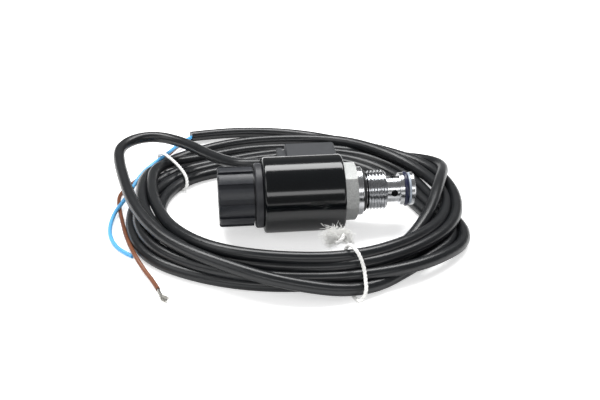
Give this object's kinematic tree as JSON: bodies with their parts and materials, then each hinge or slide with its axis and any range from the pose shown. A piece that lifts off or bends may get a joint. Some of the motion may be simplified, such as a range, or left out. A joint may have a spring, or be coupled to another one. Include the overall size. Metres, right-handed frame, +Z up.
{
  "type": "cartridge valve",
  "caption": "Screw-in hydraulic cartridge valve with a round solenoid coil, fluted nut and moulded two-core lead, lying in a tied ring of its lead.",
  "frame": {"origin": "centre of the collar face that seats on the manifold, on the valve's axis", "axes": "+X along the valve's axis towards the nose, +Y towards the terminal box, +Z up"},
  "size_m": [0.1748, 0.187, 0.036],
  "materials": {
    "zinc_plated_steel": "zinc plated, matte",
    "bright_steel": "turned and ground bright",
    "black_rubber": "moulded, satin",
    "navy_rubber": "moulded, satin",
    "clear_backup_plastic": "translucent, pale",
    "spring_steel": "drawn wire",
    "soft_iron": "turned, nickel plated",
    "stainless_tube": "drawn tube",
    "black_enamel": "gloss black coating",
    "white_nylon": "moulded",
    "enamelled_copper": "enamelled wire",
    "epoxy": "cast resin",
    "tinned_brass": "tin plated",
    "moulded_black_plastic": "fine moulded grain",
    "ring_plastic": "moulded, matte",
    "nut_plastic": "moulded, semi-matte",
    "insert_brass": "turned",
    "lead_pvc": "extruded, semi-gloss",
    "blue_pvc": "extruded",
    "brown_pvc": "extruded",
    "tinned_copper": "tinned strands",
    "cotton_string": "twisted cotton"
  },
  "bodies": {
    "solenoid": {"coil_shell": "black_enamel", "front_flux_disc": "black_enamel", "coil_seal": "black_rubber", "bobbin": "white_nylon", "copper_winding": "enamelled_copper", "potting": "epoxy", "terminal_pins": "tinned_brass", "terminal_box": "moulded_black_plastic", "terminal_cover": "moulded_black_plastic", "lead_grommet": "lead_pvc", "free_lead": "lead_pvc", "lead_coil": "lead_pvc", "blue_core": "blue_pvc", "brown_core": "brown_pvc", "brown_tip": "tinned_copper", "rear_tie": "cotton_string", "front_tie": "cotton_string", "tie_knot": "cotton_string"},
    "cartridge": {"valve_body": "zinc_plated_steel", "cage": "bright_steel", "valve_seat": "bright_steel", "spring_retainer": "bright_steel", "body_o_ring": "black_rubber", "nose_o_ring": "navy_rubber", "backup_ring": "clear_backup_plastic", "armature_tube": "stainless_tube", "pole_piece": "soft_iron", "armature_spring": "spring_steel", "poppet_spring": "spring_steel"},
    "armature": {"armature": "soft_iron", "pilot_pin": "bright_steel"},
    "poppet": {"main_poppet": "bright_steel"},
    "seal_ring": {"nut_seal_ring": "ring_plastic"},
    "nut": {"coil_nut": "nut_plastic", "nut_insert": "insert_brass"}
  },
  "joints": [
    {"name": "coil_orientation", "type": "hinge", "parent": "solenoid", "child": "cartridge", "pos_m": [0, 0, 0], "axis": [1, 0, 0], "continuous": true},
    {"name": "armature_pull", "type": "slide", "parent": "cartridge", "child": "armature", "axis": [-1, 0, 0], "range_m": [0, 0.002], "stiffness_N_per_m": 600, "springref_m": -0.003, "deforming": ["armature_spring"]},
    {"name": "poppet_lift", "type": "slide", "parent": "cartridge", "child": "poppet", "axis": [-1, 0, 0], "range_m": [0, 0.0016], "deforming": ["poppet_spring"]},
    {"name": "nut_travel", "type": "slide", "parent": "cartridge", "child": "seal_ring", "axis": [-1, 0, 0], "range_m": [0, 0.006]},
    {"name": "nut_turn", "type": "hinge", "parent": "seal_ring", "child": "nut", "pos_m": [-0.06, 0, 0], "axis": [-1, 0, 0], "range_deg": [0, 1440]}
  ],
  "couplings": [
    {"joint": "poppet_lift", "follows": "armature_pull", "ratio": 0.8},
    {"joint": "nut_travel", "follows": "nut_turn", "m_per_rad": 0.0002387}
  ]
}
